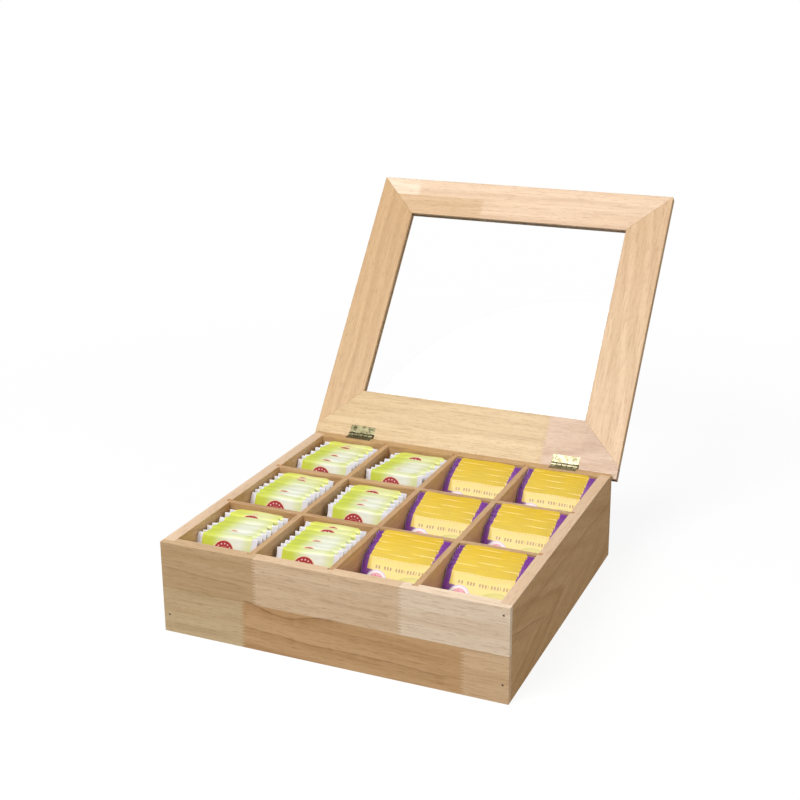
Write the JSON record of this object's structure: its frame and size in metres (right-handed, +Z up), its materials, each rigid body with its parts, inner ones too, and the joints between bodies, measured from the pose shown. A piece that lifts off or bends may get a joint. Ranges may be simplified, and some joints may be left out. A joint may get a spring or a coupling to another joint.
{
  "type": "tea storage box",
  "caption": "Open wooden tea storage box divided into compartments that hold stacks of wrapped tea sachets, with a framed clear lid leaning back on brass hinges.",
  "frame": {"origin": "middle of the underside of the case", "axes": "+Z up, the front faces -Y, +Y to the back where the lid leans, +X to the right as seen from the front"},
  "size_m": [0.308, 0.4661, 0.3052],
  "materials": {
    "case_wood": "satin lacquered rubberwood, finger-jointed",
    "lid_wood": "satin lacquered rubberwood, paler than the case",
    "clear_pane": "clear",
    "hinge_brass": "polished",
    "nail_steel": "dulled",
    "green_sachet_paper": "satin printed wrapper",
    "yellow_sachet_paper": "satin printed wrapper"
  },
  "bodies": {
    "case": {"brad_1": "nail_steel", "brad_2": "nail_steel", "brad_3": "nail_steel", "divider_cross_1": "case_wood", "divider_cross_2": "case_wood", "divider_long_1": "case_wood", "divider_long_2": "case_wood", "divider_long_3": "case_wood", "hinge_left_case_leaf": "hinge_brass", "hinge_left_pin": "hinge_brass", "hinge_right_case_leaf": "hinge_brass", "hinge_right_pin": "hinge_brass", "panel_back": "case_wood", "panel_floor": "case_wood", "panel_front": "case_wood", "panel_left": "case_wood", "panel_right": "case_wood", "sachets_green_1": "green_sachet_paper", "sachets_green_2": "green_sachet_paper", "sachets_green_3": "green_sachet_paper", "sachets_green_4": "green_sachet_paper", "sachets_green_5": "green_sachet_paper", "sachets_green_6": "green_sachet_paper", "sachets_yellow_1": "yellow_sachet_paper", "sachets_yellow_2": "yellow_sachet_paper", "sachets_yellow_3": "yellow_sachet_paper", "sachets_yellow_4": "yellow_sachet_paper", "sachets_yellow_5": "yellow_sachet_paper", "sachets_yellow_6": "yellow_sachet_paper", "screw_case_1": "hinge_brass", "screw_case_2": "hinge_brass", "screw_case_3": "hinge_brass", "screw_case_4": "hinge_brass"},
    "lid": {"hinge_left_lid_leaf": "hinge_brass", "hinge_right_lid_leaf": "hinge_brass", "lid_pane": "clear_pane", "lid_rail_front": "lid_wood", "lid_rail_hinge": "lid_wood", "lid_rail_left": "lid_wood", "lid_rail_right": "lid_wood", "screw_lid_1": "hinge_brass", "screw_lid_2": "hinge_brass", "screw_lid_3": "hinge_brass", "screw_lid_4": "hinge_brass"}
  },
  "joints": [
    {"name": "lid_hinge", "type": "hinge", "parent": "case", "child": "lid", "pos_m": [0, 0.1438, 0.08], "axis": [1, 0, 0], "range_deg": [0, 128]}
  ]
}
